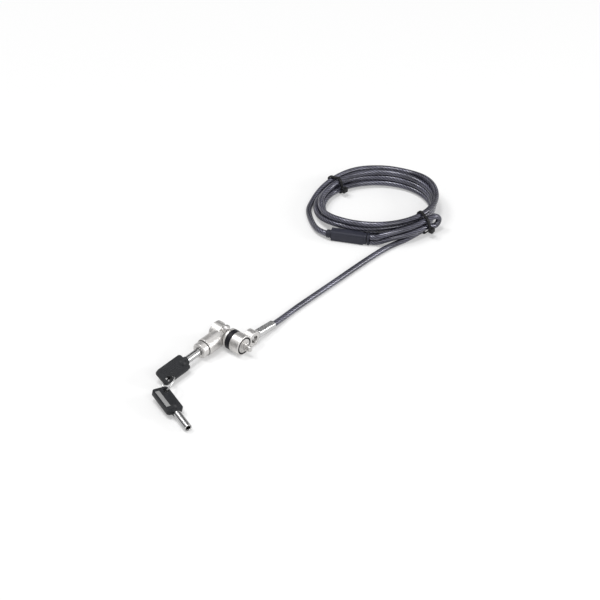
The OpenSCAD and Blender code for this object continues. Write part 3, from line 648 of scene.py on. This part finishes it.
def posed(at, *turns):
    # a place in the frame, turned about its own axes one after the other
    place = Matrix.Translation(Vector(at) * mm)
    for angle, axis in turns:
        place = place @ Matrix.Rotation(math.radians(angle), 4, axis)
    return place


# a key's bow, with X from the shank to the ring and the panel on its lower face
bow = dict(
    long=33, wide=16, thick=4.2, front=1.8, corner=3, disc=5.4, edge=0.28,
    hole=5.2, holeIn=4.6, holeSide=3.9,                  # for the ring
    tube=7.0, bore=1, boreGap=0.01, tang=(3.5, 5.6, 2), tangIn=0.5,
    neck=6.5, neckOver=0.5, neckUnder=1.6,               # its length, and its radii against the tube's
    dimple=(6.2, 6, 0.9),                                # place, width and depth
    panel=(21, 4.2, 0.4), panelIn=3.4, panelSide=1.9,
    grooves=6, groove=(19, 0.45, 0.28), grooveAt=(11.4, -5.6), grooveStep=1.75,
    # the place and turns of each bow: the key's, and the spare's from its ring hole
    key=[(-26.3, -48.2, -1), (32, "Y"), (-90, "Z")],
    spare=[(-11.83, -91.3, -1.55), (161.3, "Z"), (-5.4, "Y"), (188.1, "X")],
    ringHole=(-28.4, -4.1, 0),
)


def keyBow():
    half, side, tubeRadius = bow["thick"] / 2, bow["wide"] / 2, bow["tube"] / 2
    body = block((bow["long"] - bow["front"], bow["wide"], bow["thick"]), (bow["front"], -side, -half))
    roundEdges(body, runs(2), bow["corner"], 8)
    cut(body, drum(bow["disc"], -half, half, "Z", (bow["disc"], 0), sides=64), "UNION")
    neck = drum(tubeRadius + bow["neckOver"], 0, bow["neck"], endRadius=tubeRadius - bow["neckUnder"])
    cut(body, neck, "UNION")
    cut(body, drum(tubeRadius + bow["boreGap"], -1, bow["bore"]))
    long, wide, high = bow["tang"]
    cut(body, block((long, wide, high), (bow["bore"] - bow["tangIn"], -wide / 2, -high / 2)))
    hole = (bow["long"] - bow["holeIn"], side - bow["holeSide"])
    cut(body, drum(bow["hole"] / 2, -6, 6, "Z", hole, sides=40))
    x, across, deep = bow["dimple"]
    radius = (across * across / 4 + deep * deep) / (2 * deep)
    for face in (-1, 1):
        cut(body, ball(radius, (x, 0, face * (half - deep + radius))))
    long, wide, deep = bow["panel"]
    corner = (bow["long"] - bow["panelIn"] - long, -side + bow["panelSide"], -half - 1)
    cut(body, block((long, wide, 1 + deep), corner))
    # the grip face's fine grooves
    long, wide, deep = bow["groove"]
    groove = block((long, wide, deep + 0.5), (*bow["grooveAt"], half - deep))
    modify(groove, "ARRAY", count=bow["grooves"], use_relative_offset=False, use_constant_offset=True,
           constant_offset_displace=(0, bow["grooveStep"], 0))
    cut(body, groove)
    soften(body, bow["edge"])
    return body


keyPlace = posed(*bow["key"])
sparePlace = posed(*bow["spare"]) @ posed(bow["ringHole"])
settle(keyBow(), "keyBow", "bowPlastic", keyPlace, "key", "bow", "key_bow")
settle(keyBow(), "spareBow", "bowPlastic", sparePlace, "spare", "bow", "spare_bow")
print("key bows made")

ring = dict(
    at=(-16.83, -83.2, -1.55), tilt=49.1, yaw=211.2,
    radius=9.5, wire=0.8, sides=12, turns=2, step=6,
    crankAt=340, crankLong=40, apart=0.42,               # apart: each turn from the middle, in wires
)


def splitRing():
    # flat turns that step from one to the other over a short cranked run
    line = []
    for degrees in range(0, 360 * ring["turns"] + 1, ring["step"]):
        a = math.radians(degrees)
        share = smooth((degrees - ring["crankAt"]) / ring["crankLong"]) * 2 - 1
        line.append(Vector((ring["radius"] * math.cos(a), ring["radius"] * math.sin(a),
                            share * ring["wire"] * ring["apart"])))
    wound = sweptTube("splitRing", line, ring["wire"] / 2, ring["sides"])
    wound.data.transform(Matrix.Scale(1 / mm, 4))
    return wound


ringPlace = posed(ring["at"], (ring["yaw"], "Z"), (ring["tilt"], "Y"))
settle(splitRing(), "splitRing", "spareSteel", ringPlace, "ring", "steel", "key_ring")
print("ring made")


def coverBlock(start, long, inset, corner, edge=0):
    # a block with rounded long edges, set in from the cover's sides, top and bottom
    size = (long, cover["wide"] - 2 * inset, cover["high"] - 2 * inset)
    piece = block(size, (start, -cover["wide"] / 2 + inset, inset))
    roundEdges(piece, runs(0), corner, 6)
    if edge:
        soften(piece, edge)
    else:
        shade(piece)
    return piece


def crimpCover():
    end, step, flange = cover["long"] / 2, cover["step"], cover["flange"]
    middle = (0, cover["high"] / 2)
    body = coverBlock(-end, 2 * end - cover["shoulder"], 0, cover["corner"])
    sink(body, lambda face: abs(face.normal.y) > 0.9, *cover["sidePanel"])
    sink(body, lambda face: face.normal.z > 0.9, *cover["topPanel"])
    soften(body, cover["edge"], 3, 30)
    neck = drum(cover["neckRadius"], -end - cover["neck"], -end + cover["neckIn"], at=middle)
    shade(neck)
    parts = [
        body,
        coverBlock(end - cover["stepIn"], **step),
        coverBlock(end + cover["ring"] - flange["long"], **flange),
        neck,
    ]
    thick = cover["neck"] / (2 * cover["ribs"])
    for i in range(cover["ribs"]):
        start = -end - cover["neck"] + (2 * i + 0.5) * thick
        rib = drum(cover["ribRadius"], start, start + thick, at=middle)
        soften(rib, cover["ribEdge"])
        parts.append(rib)
    return join(*parts)


coverPlace = posed((*cover["at"], tableZ), (cover["turn"], "Z"))
coverPiece = settle(crimpCover(), "crimpCover", "coverVinyl", coverPlace, "cable", "cover", "crimp_cover")
print("crimp cover made")


def tieTurns(bearing, count):
    # where the coil's turns lie at a bearing, as distance out and height
    first = (bearing - cable["startBearing"] + 720) % 360
    return [(coilWide(first + 360 * i), coilRest(first + 360 * i)) for i in range(count)]


def aroundPlaces(places, radius, step=9):
    # the outline of a strap pulled tight round equal circles
    points = sorted(places)

    def chain(run):
        kept = []
        for p in run:
            while len(kept) > 1 and ((kept[-1][0] - kept[-2][0]) * (p[1] - kept[-2][1])
                                     - (kept[-1][1] - kept[-2][1]) * (p[0] - kept[-2][0])) <= 0:
                kept.pop()
            kept.append(p)
        return kept[:-1]

    hull = chain(points) + chain(points[::-1])
    outline = []
    for i, (x, y) in enumerate(hull):
        before, after = hull[i - 1], hull[(i + 1) % len(hull)]
        start = math.atan2(-(x - before[0]), y - before[1])
        end = math.atan2(-(after[0] - x), after[1] - y)
        while end < start:
            end += 2 * math.pi
        count = max(2, math.ceil(math.degrees(end - start) / step))
        for k in range(count + 1):
            angle = start + (end - start) * k / count
            outline.append((x + radius * math.cos(angle), y + radius * math.sin(angle)))
    return outline


def tieStrap(places):
    outline = aroundPlaces(places, cable["thick"] / 2 + ties["gap"])
    curve = bpy.data.curves.new("strap", "CURVE")
    curve.dimensions, curve.fill_mode, curve.extrude = "2D", "NONE", ties["wide"] / 2
    spline = curve.splines.new("POLY")
    spline.points.add(len(outline) - 1)
    for point, (x, y) in zip(spline.points, outline):
        point.co = (x, y, 0, 1)
    spline.use_cyclic_u = True
    strap = bpy.data.objects.new("strap", curve)
    scene.collection.objects.link(strap)
    only(strap)
    bpy.ops.object.convert(target="MESH")
    modify(strap, "WELD", merge_threshold=0.01)
    bpy.ops.object.mode_set(mode="EDIT")
    bpy.ops.mesh.select_all(action="SELECT")
    bpy.ops.mesh.normals_make_consistent(inside=False)
    done()
    modify(strap, "SOLIDIFY", thickness=ties["thick"], offset=1)
    soften(strap, ties["edge"], 2, 50)
    return strap


def cableTie(places, x, z):
    # x and z: the head's inner side and its middle
    long, high, wide = ties["head"]
    head = block((long, high, wide), (x, z - high / 2, -wide / 2))
    soften(head, ties["headEdge"], 3)
    sink(head, lambda face: abs(face.normal.y) > 0.95 and face.calc_area() > 3, *ties["slot"])
    shade(head)
    inset, low = ties["endInset"], z + ties["endAt"][1]
    end = block((ties["thick"], ties["end"], ties["wide"] - 2 * inset),
                (x + ties["endAt"][0], low, -ties["wide"] / 2 + inset))
    roundEdges(end, lambda edge: all(abs(v.co.y - low) < 0.1 for v in edge.verts), ties["endEdge"], 3)
    shade(end)
    return join(tieStrap(places), head, end)


def tiePlace(bearing):
    return posed(oval(bearing, 0, 0), (bearing, "Z"), (90, "X"))


reach = cable["thick"] / 2 + ties["gap"]
frontPlaces = tieTurns(ties["front"], 3) + [leadPlace, lowPlace, highPlace]
backPlaces = tieTurns(ties["back"], 4)
outward, up = ties["frontHead"]
frontTie = settle(cableTie(frontPlaces, lowPlace[0] + reach + outward, lowPlace[1] + up),
                  "frontTie", "tieNylon", tiePlace(ties["front"]), "cable", "tie", "front_tie")
outward, up = ties["backHead"]
backTie = settle(cableTie(backPlaces, -reach + outward, backPlaces[0][1] + up),
                 "backTie", "tieNylon", tiePlace(ties["back"]), "cable", "tie", "back_tie")
print("ties made")

for piece, replaced in ((securityCable, ("cable_lead", "cable_coil", "cable_tail")),
                        (anchorLoop, ("anchor_loop",))):
    piece.data.materials.append(finishes["cableVinyl"])
    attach(piece, "cable")
    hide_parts(*replaced)
cableLine[0] * mm
[p * mm for p in cableLine]
loopLine[0] * mm
[p * mm for p in loopLine]

# the stage, in metres: the floor just below the table's height, its white and its glow, the room's light
stage = dict(size=8, below=0.00002, paper=0.96, fill=0.28, room=0.36, felt=colour(0.03, 0.03, 0.035))
lamps = [
    dict(name="topBox", place=(-0.15, -0.35, 3.0), aim=(-0.03, 0.1, 0), size=0.75, power=29),
    dict(name="leftBox", place=(-1.4, -0.5, 2.6), aim=(-0.03, 0.1, 0), size=0.8, power=22),
    dict(name="sideBox", place=(1.5, 1.2, 0.68), aim=(-0.03, 0.1, 0), size=0.62, power=11),
    dict(name="frontBox", place=(1.5, -0.6, 1.4), aim=(-0.03, 0.05, 0), size=1.0, power=10),
]
# dark cards that only gloss shows, for the dark lines a studio leaves along metal
cards = [
    dict(name="leftCard", place=(-1.3, -1.5, 0.8), aim=(-0.03, 0.0, 0), size=(1.1, 0.42)),
    dict(name="backCard", place=(-1.2, 1.45, 0.27), aim=(-0.03, 0.0, 0.27), size=(3.4, 0.5)),
    dict(name="highCard", place=(-0.8, 0.9, 1.0), aim=(-0.03, 0.0, 0), size=(1.1, 0.7)),
    dict(name="rightCard", place=(1.12, 1.03, 0.98), aim=(-0.03, 0.1, 0), size=(1.2, 0.24)),
    dict(name="nearCard", place=(-1.45, -1.2, 0.27), aim=(-0.03, 0.0, 0.27), size=(3.4, 0.5)),
]


def aimed(item):
    return (Vector(item["aim"]) - Vector(item["place"])).to_track_quat("-Z", "Y").to_euler()


for lamp in lamps:
    bpy.ops.object.select_all(action="DESELECT")
    bpy.ops.object.light_add(type="AREA", location=lamp["place"], rotation=aimed(lamp))
    box = bpy.context.object
    box.name = lamp["name"]
    box.data.shape, box.data.size, box.data.energy = "SQUARE", lamp["size"], lamp["power"]

felt = Finish("felt")
felt.add("ShaderNodeOutputMaterial", None,
         {"Surface": felt.add("ShaderNodeBsdfDiffuse", None, {"Color": stage["felt"]})})
for card in cards:
    bpy.ops.object.select_all(action="DESELECT")
    bpy.ops.mesh.primitive_plane_add(size=1, location=card["place"], rotation=aimed(card))
    board = bpy.context.object
    board.name, board.scale = card["name"], (*card["size"], 1)
    board.visible_camera = board.visible_diffuse = board.visible_shadow = board.visible_transmission = False
    board.data.materials.append(felt.material)


def whiteRays(finish):
    # 1 for what the camera, gloss and glass see, 0 for the light that falls on the object
    rays = [finish.add("ShaderNodeLightPath", out=name)
            for name in ("Is Camera Ray", "Is Glossy Ray", "Is Transmission Ray")]
    return rays[0] + rays[1] + rays[2]


bpy.ops.object.select_all(action="DESELECT")
bpy.ops.mesh.primitive_plane_add(size=stage["size"], location=(0, 0, tableZ * mm - stage["below"]))
floor = fixed()
floor.name = "floor"
paper = Finish("floorPaper")
matt = paper.add("ShaderNodeBsdfDiffuse", None, {"Color": colour(*[stage["paper"]] * 3)})
glow = paper.add("ShaderNodeEmission", None, {"Color": colour(1, 1, 1), "Strength": 1.0})
mixed = paper.add("ShaderNodeMixShader", None, {0: whiteRays(paper) * stage["fill"], 1: matt, 2: glow})
paper.add("ShaderNodeOutputMaterial", None, {"Surface": mixed})
floor.data.materials.append(paper.material)

scene.world = bpy.data.worlds.new("room")
scene.world.use_nodes = True
room = Finish("room", scene.world.node_tree)
white = room.add("ShaderNodeBackground", None, {"Color": colour(1, 1, 1), "Strength": 1.0})
plain = room.add("ShaderNodeBackground", None, {"Color": colour(1, 1, 1), "Strength": stage["room"]})
mixed = room.add("ShaderNodeMixShader", None, {0: whiteRays(room), 1: plain, 2: white})
room.add("ShaderNodeOutputWorld", None, {"Surface": mixed})
scene.view_settings.view_transform = "Standard"
print("stage set")
